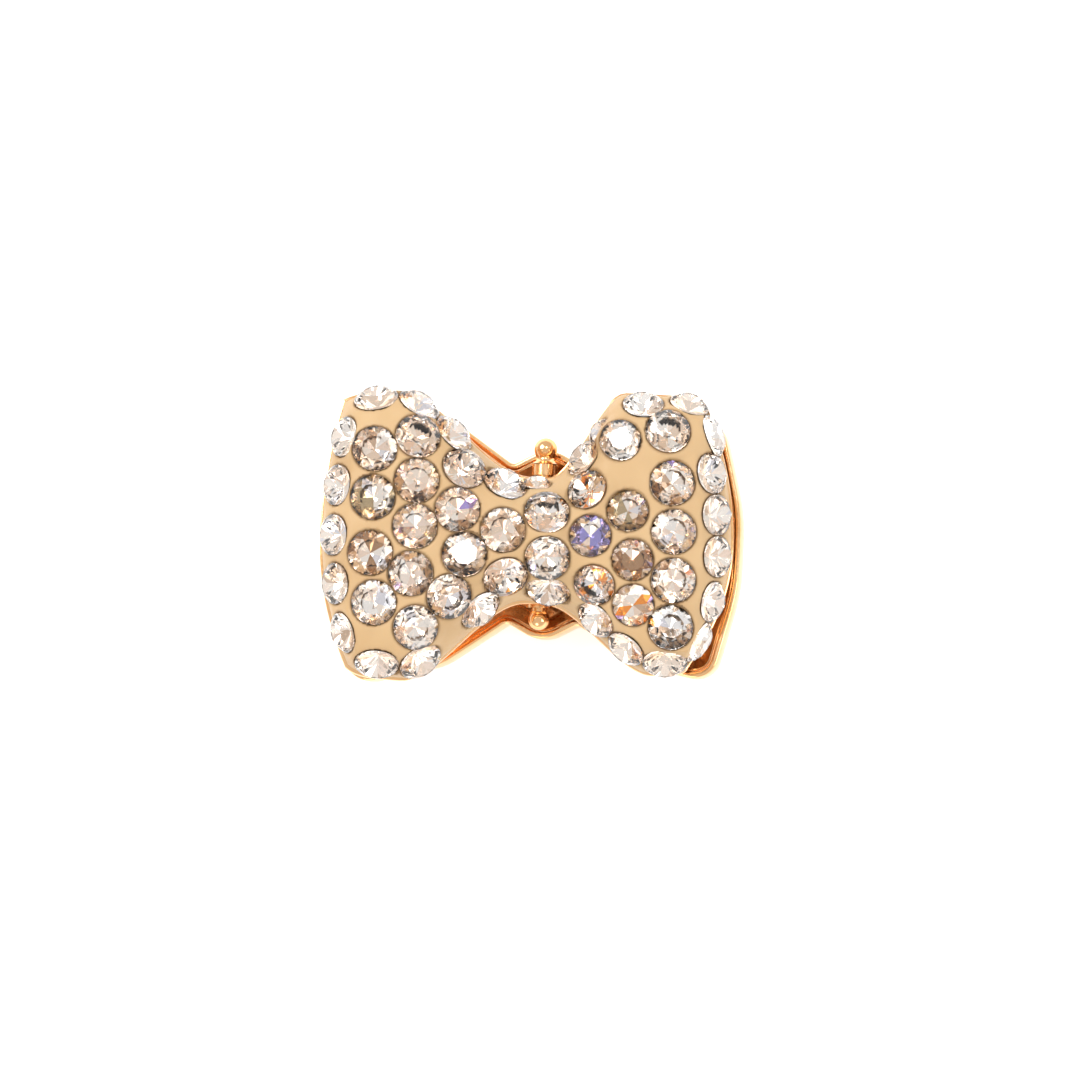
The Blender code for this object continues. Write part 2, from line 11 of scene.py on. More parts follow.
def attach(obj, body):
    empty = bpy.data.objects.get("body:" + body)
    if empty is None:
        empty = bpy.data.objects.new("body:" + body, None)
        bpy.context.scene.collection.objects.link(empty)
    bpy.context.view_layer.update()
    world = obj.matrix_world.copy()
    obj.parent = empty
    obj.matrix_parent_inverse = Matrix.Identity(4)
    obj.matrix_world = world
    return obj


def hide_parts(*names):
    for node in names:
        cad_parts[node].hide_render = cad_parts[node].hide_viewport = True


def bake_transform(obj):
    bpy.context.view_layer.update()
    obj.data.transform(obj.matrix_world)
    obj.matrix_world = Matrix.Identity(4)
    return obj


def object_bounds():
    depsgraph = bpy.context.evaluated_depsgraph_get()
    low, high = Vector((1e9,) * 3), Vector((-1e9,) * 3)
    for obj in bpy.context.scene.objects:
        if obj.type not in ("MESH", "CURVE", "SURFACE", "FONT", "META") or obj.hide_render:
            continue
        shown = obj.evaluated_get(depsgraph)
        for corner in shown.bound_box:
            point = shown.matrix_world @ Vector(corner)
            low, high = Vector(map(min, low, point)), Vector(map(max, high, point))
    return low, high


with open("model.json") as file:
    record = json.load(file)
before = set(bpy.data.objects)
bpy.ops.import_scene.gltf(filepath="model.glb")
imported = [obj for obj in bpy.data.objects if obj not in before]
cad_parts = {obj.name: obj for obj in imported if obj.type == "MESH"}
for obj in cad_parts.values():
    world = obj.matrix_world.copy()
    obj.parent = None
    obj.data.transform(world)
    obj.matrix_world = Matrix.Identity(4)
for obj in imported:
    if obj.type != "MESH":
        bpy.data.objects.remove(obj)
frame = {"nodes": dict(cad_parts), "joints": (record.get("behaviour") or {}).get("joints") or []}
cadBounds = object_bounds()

# Bow hair clip: two gilt jaws on a pin, the front one covered in clay and set with foiled stones.
# Everything is in metres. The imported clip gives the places, and the pieces below are built on it.
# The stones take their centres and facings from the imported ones, and the clay is pressed to fit them.

mm = 0.001
hinge = frame["joints"][0]
pinPlace = Vector(hinge["pos_m"])
restTurn = radians(9.5)            # how far the front jaw is turned at rest
frontFrame = Matrix.Translation(pinPlace) @ Matrix.Rotation(restTurn, 4, "Y")
backFrame = Matrix.Translation((pinPlace.x, 0, 0))
print("clip loaded:", len(frame["nodes"]), "parts")



def addPiece(name, mesh, material, body=None, stands=()):
    piece = bpy.data.objects.new(name, mesh)
    bpy.context.scene.collection.objects.link(piece)
    if material is not None:
        piece.data.materials.append(material)
    if body:
        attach(piece, body)
    if stands:
        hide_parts(*stands)
    return piece


def tidyMesh(mesh, sharp=None):
    bm = bmesh.new()
    bm.from_mesh(mesh)
    bmesh.ops.recalc_face_normals(bm, faces=bm.faces)
    bm.to_mesh(mesh)
    bm.free()
    if sharp is None:
        mesh.shade_flat()
    else:
        mesh.shade_smooth()
        mesh.set_sharp_from_angle(angle=sharp)
    return mesh


class Skin:
    # collects points and faces; rings and grids are joined into one closed mesh
    def __init__(self):
        self.points = []
        self.faces = []

    def ring(self, places):
        first = len(self.points)
        self.points += [tuple(p) for p in places]
        return list(range(first, len(self.points)))

    def grid(self, places):
        columns, rows = places.shape[:2]
        first = len(self.points)
        self.points += [tuple(p) for p in places.reshape(-1, 3)]
        index = (np.arange(columns * rows) + first).reshape(columns, rows)
        quads = np.stack((index[:-1, :-1], index[1:, :-1], index[1:, 1:], index[:-1, 1:]), -1)
        self.faces += quads.reshape(-1, 4).tolist()
        return index

    def join(self, ring, other):
        # the other ring may have fewer points, by a whole share
        step = len(ring) // len(other)
        for i in range(len(other)):
            near = [ring[(i * step + k) % len(ring)] for k in range(step + 1)]
            self.faces.append(near + [other[(i + 1) % len(other)], other[i]])

    def cap(self, ring):
        self.faces.append(list(ring))

    def mesh(self, name, place=Matrix.Identity(4), sharp=radians(35)):
        mesh = bpy.data.meshes.new(name)
        mesh.from_pydata(self.points, [], self.faces)
        mesh.transform(place)
        return tidyMesh(mesh, sharp)


def edgeOf(index):
    # a grid's outer points in order
    return [*index[:-1, 0], *index[-1, :-1], *index[:0:-1, -1], *index[0, :0:-1]]


def cutOrJoin(piece, tool, operation):
    change = piece.modifiers.new(tool.name, "BOOLEAN")
    change.operation = operation
    change.solver = "EXACT"
    change.use_self = True
    change.object = tool
    done = bpy.data.meshes.new_from_object(
        piece.evaluated_get(bpy.context.evaluated_depsgraph_get()))
    piece.modifiers.clear()
    old = piece.data
    piece.data = done
    bpy.data.meshes.remove(old)
    bpy.data.objects.remove(tool)



def newFinish(name):
    material = bpy.data.materials.new(name)
    material.use_nodes = True
    tree = material.node_tree
    shader = tree.nodes["Principled BSDF"]
    coords = tree.nodes.new("ShaderNodeTexCoord")

    def put(kind, inputs=None, **settings):
        node = tree.nodes.new(kind)
        for key, value in settings.items():
            setattr(node, key, value)
        for key, value in (inputs or {}).items():
            if isinstance(value, bpy.types.NodeSocket):
                tree.links.new(value, node.inputs[key])
            else:
                node.inputs[key].default_value = value
        return node

    def grain(size, detail=3.0, roughness=0.55):
        # noise whose lumps are about this wide
        made = put("ShaderNodeTexNoise", {
            "Vector": coords.outputs["Object"], "Scale": 0.6 / size,
            "Detail": detail, "Roughness": roughness})
        return made.outputs["Fac"]

    def band(value, low, high, fromLow=0.3, fromHigh=0.7):
        made = put("ShaderNodeMapRange", {
            "Value": value, "From Min": fromLow, "From Max": fromHigh,
            "To Min": low, "To Max": high})
        return made.outputs["Result"]

    def blendTones(share, one, other):
        made = put("ShaderNodeMix", data_type="RGBA")
        for key, value in (("Factor_Float", share), ("A_Color", one), ("B_Color", other)):
            socket = next(s for s in made.inputs if s.identifier == key)
            if isinstance(value, bpy.types.NodeSocket):
                tree.links.new(value, socket)
            else:
                socket.default_value = value
        return next(s for s in made.outputs if s.identifier == "Result_Color")

    def relief(height, depth, strength=1.0, under=None):
        inputs = {"Height": height, "Distance": depth, "Strength": strength}
        if under is not None:
            inputs["Normal"] = under
        return put("ShaderNodeBump", inputs).outputs["Normal"]

    def feed(socket, value):
        tree.links.new(value, shader.inputs[socket])

    tools = dict(put=put, grain=grain, band=band, blendTones=blendTones, relief=relief, feed=feed)
    return material, shader, tools


gilt = {
    "tone": (0.95, 0.61, 0.33, 1),
    "deepTone": (0.90, 0.50, 0.22, 1),
    "smoothest": 0.10,
    "roughest": 0.24,
    "wave": 1.6 * mm,            # width of the soft waves left by polishing
    "pit": 0.16 * mm,            # width of the fine casting grain
}


def polishedGold():
    material, shader, do = newFinish("polished gold")
    wave = do["grain"](gilt["wave"], 2.0)
    pit = do["grain"](gilt["pit"], 4.0)
    shader.inputs["Metallic"].default_value = 1.0
    do["feed"]("Base Color", do["blendTones"](do["band"](wave, 0, 1), gilt["tone"], gilt["deepTone"]))
    do["feed"]("Roughness", do["band"](pit, gilt["smoothest"], gilt["roughest"]))
    waves = do["relief"](wave, 0.05 * mm, 0.5)
    do["feed"]("Normal", do["relief"](pit, 0.004 * mm, 0.6, waves))
    return material


castGilt = {
    "tone": (0.92, 0.58, 0.30, 1),
    "deepTone": (0.62, 0.33, 0.13, 1),
    "grit": 0.22 * mm,
    "lump": 0.9 * mm,
}


def castGold():
    # the unpolished inside: pitted, darker in its hollows
    material, shader, do = newFinish("rough cast gold")
    grit = do["grain"](castGilt["grit"], 5.0, 0.65)
    lump = do["grain"](castGilt["lump"], 3.0)
    shader.inputs["Metallic"].default_value = 1.0
    do["feed"]("Base Color", do["blendTones"](
        do["band"](grit, 1, 0, 0.35, 0.6), castGilt["tone"], castGilt["deepTone"]))
    do["feed"]("Roughness", do["band"](grit, 0.42, 0.20))
    lumps = do["relief"](lump, 0.16 * mm, 0.8)
    do["feed"]("Normal", do["relief"](grit, 0.05 * mm, 1.0, lumps))
    return material


clayMix = {
    "tone": (0.56, 0.375, 0.19, 1),
    "warmTone": (0.49, 0.31, 0.147, 1),
    "contactShadeTone": (0.34, 0.205, 0.10, 1),   # painted shade: the thin dark line of contact shade round each stone
    "dust": 0.12 * mm,
    "thumb": 3.2 * mm,
}


def settingClay():
    material, shader, do = newFinish("setting clay")
    thumb = do["grain"](clayMix["thumb"], 2.0)
    dust = do["grain"](clayMix["dust"], 4.0, 0.6)
    contactShade = do["put"]("ShaderNodeAttribute", attribute_name="contactShade").outputs["Fac"]
    body = do["blendTones"](do["band"](thumb, 0, 1), clayMix["tone"], clayMix["warmTone"])
    # darker towards each stone's girdle: painted contact shade mixed into the clay's colour
    do["feed"]("Base Color", do["blendTones"](contactShade, body, clayMix["contactShadeTone"]))
    do["feed"]("Roughness", do["band"](dust, 0.48, 0.64))
    shader.inputs["Specular IOR Level"].default_value = 0.4
    shader.inputs["Subsurface Weight"].default_value = 0.12
    shader.inputs["Subsurface Radius"].default_value = (0.6, 0.35, 0.18)
    shader.inputs["Subsurface Scale"].default_value = 0.4 * mm
    do["feed"]("Normal", do["relief"](dust, 0.006 * mm, 0.7, do["relief"](thumb, 0.10 * mm, 0.4)))
    return material


crystal = {
    "bend": 1.56,                 # refractive index of leaded glass
    "scratch": 0.05 * mm,
}


def stoneGlass():
    material, shader, do = newFinish("champagne crystal")
    tint = do["put"]("ShaderNodeAttribute", attribute_name="tint").outputs["Color"]
    do["feed"]("Base Color", tint)
    do["feed"]("Roughness", do["band"](do["grain"](crystal["scratch"], 3.0), 0.0, 0.03, 0.4, 0.8))
    shader.inputs["Transmission Weight"].default_value = 1.0
    shader.inputs["IOR"].default_value = crystal["bend"]
    return material


def stoneFoil():
    material, shader, do = newFinish("stone foil")
    tint = do["put"]("ShaderNodeAttribute", attribute_name="tint").outputs["Color"]
    crinkle = do["grain"](0.25 * mm, 3.0)
    do["feed"]("Base Color", tint)
    do["feed"]("Roughness", do["band"](crinkle, 0.03, 0.12))
    do["feed"]("Normal", do["relief"](crinkle, 0.01 * mm, 0.5))
    shader.inputs["Metallic"].default_value = 1.0
    return material


def springSteel():
    material, shader, do = newFinish("spring wire")
    draw = do["grain"](0.08 * mm, 4.0)
    shader.inputs["Metallic"].default_value = 1.0
    do["feed"]("Base Color", do["blendTones"](
        do["band"](draw, 0, 1), (0.60, 0.57, 0.53, 1), (0.42, 0.38, 0.33, 1)))
    do["feed"]("Roughness", do["band"](draw, 0.22, 0.42))
    do["feed"]("Normal", do["relief"](draw, 0.006 * mm, 0.6))
    return material


goldFinish, castFinish, clayFinish = polishedGold(), castGold(), settingClay()
glassFinish, foilFinish, wireFinish = stoneGlass(), stoneFoil(), springSteel()
print("finishes mixed")



bow = {
    "longEnd": 14.1 * mm,
    "toothedEnd": 12.1 * mm,
    "waistHalf": 3.9 * mm,
    # long end first, toothed end second, each with its upper side before its lower one
    "waistFlat": (0.9 * mm, 0.2 * mm),
    "lobeHalf": ((9.1 * mm, 9.2 * mm), (9.6 * mm, 8.2 * mm)),
    "lobeRun": ((8.8 * mm, 8.0 * mm), (4.8 * mm, 7.4 * mm)),
    "endBulge": ((1.1 * mm, 2.0 * mm), (2.0 * mm, 2.6 * mm)),
    "cornerTaper": 0.08,
    "cornerSharpness": 8,
    "rimToPin": 1.15 * mm,
    "rise": 3.3 * mm,
    "crown": 0.6 * mm,
    "shoulder": 3.0 * mm,
    "flange": 0.5 * mm,
    "overhang": 0.2 * mm,
    "skirt": 0.2 * mm,
    "clay": 1.2 * mm,
    "clayGap": 0.05 * mm,
    "shellGap": 0.1 * mm,
    "shell": 0.8 * mm,
}


def domeSurface(u, v, grow=0.0):
    # the front dome at arrays of u along the bow and v across it, both -1 to 1
    left, upper = u < 0, v > 0

    def quarter(name):
        (leftUp, leftLow), (rightUp, rightLow) = bow[name]
        return np.where(left, np.where(upper, leftUp, leftLow), np.where(upper, rightUp, rightLow))

    fullLength = np.where(left, bow["longEnd"], bow["toothedEnd"])
    run = quarter("lobeRun")
    share = np.clip((np.abs(u) * fullLength - np.where(left, *bow["waistFlat"])) / run, 0, 1)
    spread = quarter("lobeHalf") - bow["waistHalf"]
    stretch = np.hypot(1, spread * 6 * share * (1 - share) / run)
    height = bow["waistHalf"] + spread * share * share * (3 - 2 * share)
    height = height * (1 - bow["cornerTaper"] * np.abs(u) ** bow["cornerSharpness"]) + grow * stretch
    length = fullLength + grow
    along = np.abs(u) * length - quarter("endBulge") * u ** 4 * v * v
    width = bow["shoulder"] + grow
    rise = bow["rise"] + grow + bow["crown"] * (1 - v * v) * (1 - u * u)

    def rounded(distance, reach):
        return np.sqrt(1 - (1 - np.clip(distance / reach, 0, 1)) ** 2)

    side = rounded((1 - np.abs(v)) * height, width * stretch)
    z = rise * rounded((1 - np.abs(u)) * length, width) * side
    base = bow["rimToPin"] + bow["flange"] + bow["skirt"]
    return np.stack((np.where(left, -along, along), v * height, base + z), -1)


def domeGrid(grow, columns, rows):
    u = np.sin(pi / 2 * np.linspace(-1, 1, columns + 1))
    v = np.sin(pi / 2 * np.linspace(-1, 1, rows + 1))
    return domeSurface(*np.meshgrid(u, v, indexing="ij"), grow)


def bowRing(grow, z, columns, rows):
    # the bow's outline at one height
    grid = domeGrid(grow, columns, rows)
    ring = np.concatenate((grid[:-1, 0], grid[-1, :-1], grid[:0:-1, -1], grid[0, :0:-1]))
    ring[:, 2] = z
    return ring



stoneCut = {
    "radius": 1.42 * mm,
    "table": 0.80 * mm,
    "crown": 0.50 * mm,
    "girdle": 0.14 * mm,
    "pavilion": 0.80 * mm,
    "sides": 8,
    "setTilt": radians(3.5),       # hand setting: how far a stone may lean
    "glint": (0.20, 0.13, 0.99),
    "glass": (1.0, 0.945, 0.895),
    # foil facet tones: most are pale champagne, some pink or grey-blue, a few brown
    "tones": (
        (6, (1.0, 0.90, 0.80)), (6, (1.0, 0.97, 0.93)), (3, (0.96, 0.80, 0.68)),
        (3, (0.90, 0.74, 0.60)), (2, (0.84, 0.84, 0.90)), (1, (0.68, 0.50, 0.36)),
    ),
    # painted fire: orange and blue flashes of coloured light put into a few foil facets
    "paintedFire": ((1.0, 0.42, 0.08), (0.95, 0.62, 0.12), (1.0, 0.36, 0.20), (0.50, 0.42, 0.90)),
    "paintedFireShare": 0.006,
}


def stoneSeat(node):
    # centre, facing and size of a stone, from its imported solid: a short turned shape, wide end up
    corners = {tuple(round(c, 8) for c in v.co) for v in node.data.vertices}
    cloud = np.array(sorted(corners))
    middle = cloud.mean(0)
    spread = cloud - middle
    axis = np.linalg.eigh(spread.T @ spread)[1][:, 0]
    height = spread @ axis
    radius = np.linalg.norm(spread - np.outer(height, axis), axis=1)
    if (height * radius ** 2).sum() < 0:
        axis = -axis
    girdle = cloud[radius > 0.9 * radius.max()].mean(0)
    return Vector(girdle), Vector(axis), float(radius.max()) / stoneCut["radius"]


def edgeSeat(x, y, size):
    # a small stone pressed into the dome's edge: the place given is seen from above the front jaw
    u = x / (bow["longEnd"] if x < 0 else bow["toothedEnd"])
    spots = np.linspace(-0.995, 0.995, 400)
    line = domeSurface(np.full(len(spots), u), spots)
    v = spots[np.abs(line[:, 1] - y).argmin()]
    step = 0.01                    # how far apart the points that give the facing are
    near = domeSurface(np.array((u - step, u + step, u, u)), np.array((v, v, v - step, v + step)))
    facing = Vector(near[1] - near[0]).cross(Vector(near[3] - near[2])).normalized()
    place = Vector(domeSurface(np.array([u]), np.array([v]))[0])
    return frontFrame @ place, frontFrame.to_3x3() @ facing, size


edgeStones = {
    "stone_waist": (-0.5 * mm, bow["waistHalf"] - 0.4 * mm, 0.62),
    "stone_lobe": (3.3 * mm, 7.0 * mm, 0.62),
}
edgeSeats = [edgeSeat(*spot) for spot in edgeStones.values()]
stoneNames = sorted(name for name in frame["nodes"] if name.startswith("rhinestone_"))
seats = {name: stoneSeat(frame["nodes"][name]) for name in stoneNames}
print("stones found:", len(seats))



# stones that stand out from the rest: number, what is special; the fiery ones carry painted fire
# flashes, the bright ones painted highlight facets
stoneCharacter = {
    8: "olive", 9: "brown", 33: "violet", 37: "olive", 38: "brown",
    34: "paintedFiery", 39: "paintedFiery", 32: "paintedFiery", 36: "paintedBright", 45: "paintedBright", 22: "paintedBright",
}
# for each: its special tone and the share of facets that have it
characterTones = {
    "olive": ((0.52, 0.42, 0.26), 0.45),
    "brown": ((0.46, 0.29, 0.17), 0.50),
    "violet": ((0.36, 0.34, 0.72), 0.45),
    # fiery: a share of the stone's foil facets painted as orange fire flashes
    "paintedFiery": ((1.0, 0.38, 0.07), 0.16),
    # bright: white foil facets painted in as highlight, on stones that also lean towards the overhead
    # box
    "paintedBright": ((1.0, 1.0, 1.0), 0.35),
    "plain": ((1.0, 0.86, 0.74), 0.10),
}


def cutStone(name, scale=1.0):
    # a closed stone: glass crown over a foiled pavilion, flat facets, round girdle
    sides, radius = stoneCut["sides"], stoneCut["radius"] * scale
    half = stoneCut["girdle"] / 2 * scale
    top = half + stoneCut["crown"] * scale
    rimCount = sides * 4
    skin = Skin()

    def turnRing(count, ringRadius, z, offset=0.0):
        angles = [2 * pi * (k + offset) / count for k in range(count)]
        return skin.ring([(ringRadius * cos(a), ringRadius * sin(a), z) for a in angles])

    starRadius = stoneCut["table"] * scale + (radius - stoneCut["table"] * scale) * 0.52
    table = turnRing(sides, stoneCut["table"] * scale, top)
    stars = turnRing(sides, starRadius, half + (top - half) * 0.60, 0.5)
    upper = turnRing(rimCount, radius, half)
    lower = turnRing(rimCount, radius, -half)
    mid = turnRing(sides, radius * 0.55, -half - stoneCut["pavilion"] * scale * 0.47, 0.5)
    culet = skin.ring([(0, 0, -half - stoneCut["pavilion"] * scale)])[0]
    skin.cap(table)
    for k in range(sides):
        n = (k + 1) % sides
        rim = [upper[(4 * k + i) % rimCount] for i in range(5)]
        base = [lower[(4 * k + i) % rimCount] for i in range(5)]
        skin.faces.append([table[k], stars[k], table[n]])
        skin.faces.append([table[n], stars[k], rim[4], stars[n]])
        skin.faces.append([stars[k], *rim[0:3]])
        skin.faces.append([stars[k], *rim[2:5]])
        for i in range(4):
            skin.faces.append([rim[i], base[i], base[i + 1], rim[i + 1]])
        skin.faces.append([mid[k], *base[0:3]])
        skin.faces.append([mid[k], *base[2:5]])
        skin.faces.append([culet, mid[k], base[4], mid[n]])
    mesh = bpy.data.meshes.new(name)
    mesh.from_pydata(skin.points, [], skin.faces)
    return tidyMesh(mesh)


def paintFacets(mesh, rng, character):
    # each foil facet gets its own tone, a few of them painted fire flashes or painted highlight; the
    # glass keeps one tint for the whole stone
    special, specialShare = characterTones[character]
    weights = [w for w, _ in stoneCut["tones"]]
    tones = [t for _, t in stoneCut["tones"]]
    tint = mesh.attributes.new("tint", "FLOAT_COLOR", "FACE")
    warmth = rng.uniform(-0.05, 0.03)
    for face, value in zip(mesh.polygons, tint.data):
        if face.material_index == 0:
            glass = stoneCut["glass"]
            value.color = (glass[0], glass[1] + warmth * 0.6, glass[2] + warmth * 1.2, 1)
            continue
        tone = rng.choices(tones, weights)[0]
        if rng.random() < specialShare:
            tone = special
        # now and then a facet gets a painted fire flash
        if rng.random() < stoneCut["paintedFireShare"]:
            tone = rng.choice(stoneCut["paintedFire"])
        value.color = (*tone, 1)


def leanStone(count, facing):
    # set by hand: most lean a little, the bright ones so that their table catches the overhead box
    if stoneCharacter.get(count) == "paintedBright":
        return facing.lerp(Vector(stoneCut["glint"]).normalized(), 0.9).normalized()
    rng = random.Random(900 + count)
    side = facing.orthogonal().normalized()
    side.rotate(Matrix.Rotation(rng.uniform(0, 2 * pi), 3, facing))
    leaning = facing.copy()
    leaning.rotate(Matrix.Rotation(rng.uniform(0, stoneCut["setTilt"]), 3, side))
    return leaning


for count, name in enumerate(stoneNames, 1):
    place, facing, scale = seats[name]
    seats[name] = place, leanStone(count, facing), scale


def makeStone(name, place, facing, rng, character="plain", scale=1.0):
    mesh = cutStone(name, scale)
    mesh.materials.append(glassFinish)
    mesh.materials.append(foilFinish)
    limit = -stoneCut["girdle"] / 2 * scale * 0.9
    for face in mesh.polygons:
        face.material_index = 1 if face.center.z < limit else 0
    paintFacets(mesh, rng, character)
    spin = Matrix.Rotation(rng.uniform(0, 2 * pi), 4, "Z")
    turn = facing.to_track_quat("Z", "Y").to_matrix().to_4x4()
    mesh.transform(Matrix.Translation(place) @ turn @ spin)
    return addPiece(name, mesh, None)


for count, name in enumerate(stoneNames, 1):
    place, facing, scale = seats[name]
    rng = random.Random(100 + count)
    character = stoneCharacter.get(count, "plain")
    stone = makeStone(f"stone_{count:02d}", place, facing, rng, character, scale)
    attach(stone, "front")
    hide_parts(name)
for (name, _), (place, facing, scale) in zip(edgeStones.items(), edgeSeats):
    stone = makeStone(name, place, facing, random.Random(name), "plain", scale)
    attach(stone, "front")
print("stones cut")



clayBed = {
    "columns": 288,
    "rows": 200,
    "coarser": 4,                # the hidden underside has this many times fewer points
    "fit": 0.05 * mm,            # room round a stone's girdle
    "lipReach": 0.75 * mm,
    "lipDrop": 0.10 * mm,        # the clay's lip ends this far under the girdle's middle
    # how far the painted contact shade reaches out from a girdle
    "contactShadeWidth": 0.07 * mm,
    "waver": 0.07 * mm,
}


def pressStones(points):
    # pockets under the stones, a lip of clay drawn up round each, and how near each point is to a
    # stone's girdle, for the painted contact shade there
    contactShade = np.zeros(len(points))
    lifted = points.copy()
    pressed = [*seats.values(), *edgeSeats]
    for place, facing, scale in pressed:
        stoneRadius = stoneCut["radius"] * scale + clayBed["fit"]
        axis, centre = np.array(facing), np.array(place)
        away = points - centre
        height = away @ axis
        radius = np.linalg.norm(away - np.outer(height, axis), axis=1)
        near = (np.abs(height) < 1.5 * mm) & (radius < stoneRadius + clayBed["lipReach"])
        share = np.clip((radius - stoneRadius) / clayBed["lipReach"], 0, 1)
        want = -clayBed["lipDrop"] - height
        pull = np.where(want > 0, want, 0) * (1 - share) ** 2 * near
        lifted += np.outer(pull, axis)
    for place, facing, scale in pressed:
        stoneRadius = stoneCut["radius"] * scale + clayBed["fit"]
        axis, centre = np.array(facing), np.array(place)
        away = lifted - centre
        height = away @ axis
        radius = np.linalg.norm(away - np.outer(height, axis), axis=1)
        inside = (radius < stoneRadius) & (height > -1.2 * mm) & (height < 1.2 * mm)
        depth = -stoneCut["girdle"] / 2 * scale - clayBed["fit"] - (stoneRadius - radius) * (
            stoneCut["pavilion"] / stoneCut["radius"]) - 0.04 * mm
        drop = np.where(inside & (height > depth), depth - height, 0)
        lifted += np.outer(drop, axis)
        # painted contact shade: darkest at the girdle, fading away from it
        outside = np.maximum(radius - stoneRadius, 0)
        beside = (height > -0.9 * mm) & (height < 0.6 * mm)
        contactShade = np.maximum(contactShade, np.exp(-((outside / clayBed["contactShadeWidth"]) ** 2)) * beside)
    return lifted, contactShade


def clayMesh():
    columns, rows, coarser = clayBed["columns"], clayBed["rows"], clayBed["coarser"]
    skin = Skin()
    outer = domeGrid(0.0, columns, rows)
    places = np.array([frontFrame @ Vector(p) for p in outer.reshape(-1, 3)])
    wave = np.array([noise.noise(Vector(p) * (0.35 / mm)) for p in places])
    places += np.outer(wave * clayBed["waver"], np.array(frontFrame.col[2].xyz))
    places += np.array(frontFrame.col[2].xyz) * bow["clayGap"]
    pressed, contactShade = pressStones(places)
    inner = domeGrid(-bow["clay"], columns // coarser, rows // coarser)
    footZ = bow["rimToPin"] + bow["flange"] + bow["clayGap"]

    def placed(points):
        return np.array([frontFrame @ Vector(p) for p in points.reshape(-1, 3)]).reshape(points.shape)

    top = skin.grid(pressed.reshape(outer.shape))
    foot = skin.ring(placed(bowRing(0.0, footZ, columns, rows)))
    innerFoot = skin.ring(placed(bowRing(-bow["clay"], footZ, columns // coarser, rows // coarser)))
    under = skin.grid(placed(inner + np.array((0, 0, bow["clayGap"]))))
    skin.join(edgeOf(top), foot)
    skin.join(foot, innerFoot)
    skin.join(innerFoot, edgeOf(under))
    mesh = skin.mesh("clay_bed", sharp=radians(60))
    # the painted contact shade, kept on the top's points for the clay's finish
    values = np.zeros(len(mesh.vertices), np.float32)
    values[:len(contactShade)] = contactShade
    mesh.attributes.new("contactShade", "FLOAT", "POINT").data.foreach_set("value", values)
    return mesh


addPiece("clay", clayMesh(), clayFinish, "front", ["clay_bed"])
print("clay pressed")



lugs = {
    "halfWidth": 0.75 * mm,
    "barrel": 0.85 * mm,
    "bore": 0.55 * mm,
    "front": ((-3.2 * mm, -2.3 * mm), (2.3 * mm, 3.2 * mm)),
    "back": ((-4.25 * mm, -3.55 * mm), (4.35 * mm, 5.05 * mm)),
}
teeth = {
    "halfWidth": 0.55 * mm,
    "narrowing": 0.7,
    "frontHeights": (-4.5, -1.5, 1.5, 4.5),
    "backHeights": (-6.0, -3.0, 0.0, 3.0, 6.0),
    "frontX": (8.0 * mm, 9.0 * mm),
    "backX": (7.9 * mm, 8.9 * mm),
    "bevel": 0.12 * mm,
}


def block(bm, low, high, tip=1.0, tipUp=True):
    low, high = Vector(low), Vector(high)
    middle = (low + high) / 2
    made = bmesh.ops.create_cube(bm, size=1.0, matrix=Matrix.LocRotScale(middle, None, high - low))
    for vert in made["verts"]:
        if (vert.co.z > middle.z) == tipUp:
            vert.co.x = middle.x + (vert.co.x - middle.x) * tip
            vert.co.y = middle.y + (vert.co.y - middle.y) * tip
    return made["verts"]


def softenEdges(bm, width, segments=3):
    bmesh.ops.bevel(
        bm, geom=list(bm.edges), offset=width, segments=segments, profile=0.5,
        affect="EDGES", clamp_overlap=True)


def lugTool(name, place, spans, blockZ):
    bm = bmesh.new()
    for low, high in spans:
        block(bm, (-lugs["halfWidth"], low, blockZ[0]), (lugs["halfWidth"], high, blockZ[1]))
    mesh = bpy.data.meshes.new(name)
    bm.to_mesh(mesh)
    bm.free()
    mesh.transform(place)
    return addPiece(name, mesh, None)


def barrelTool(name, place, radius, spans):
    bm = bmesh.new()
    for low, high in spans:
        turn = Matrix.Translation((0, (low + high) / 2, 0)) @ Matrix.Rotation(pi / 2, 4, "X")
        bmesh.ops.create_cone(
            bm, cap_ends=True, segments=48, radius1=radius, radius2=radius,
            depth=high - low, matrix=turn)
    mesh = bpy.data.meshes.new(name)
    bm.to_mesh(mesh)
    bm.free()
    mesh.transform(place)
    return addPiece(name, mesh, None)


def teethTool(name, place, heights, spanX, spanZ, tipUp):
    bm = bmesh.new()
    for y in heights:
        low = (spanX[0], y * mm - teeth["halfWidth"], spanZ[0])
        high = (spanX[1], y * mm + teeth["halfWidth"], spanZ[1])
        block(bm, low, high, teeth["narrowing"], tipUp)
    softenEdges(bm, teeth["bevel"])
    mesh = bpy.data.meshes.new(name)
    bm.to_mesh(mesh)
    bm.free()
    mesh.transform(place)
    return addPiece(name, mesh, None)


def addHingeLugs(jaw, place, spans, blockZ):
    bore = [(spans[0][0] - 1 * mm, spans[-1][1] + 1 * mm)]
    cutOrJoin(jaw, lugTool("lug blocks", place, spans, blockZ), "UNION")
    cutOrJoin(jaw, barrelTool("lug barrels", place, lugs["barrel"], spans), "UNION")
    cutOrJoin(jaw, barrelTool("pin bore", place, lugs["bore"], bore), "DIFFERENCE")



frontShell = {
    "columns": 96,
    "rows": 64,
    "edgeRound": 0.14 * mm,
}


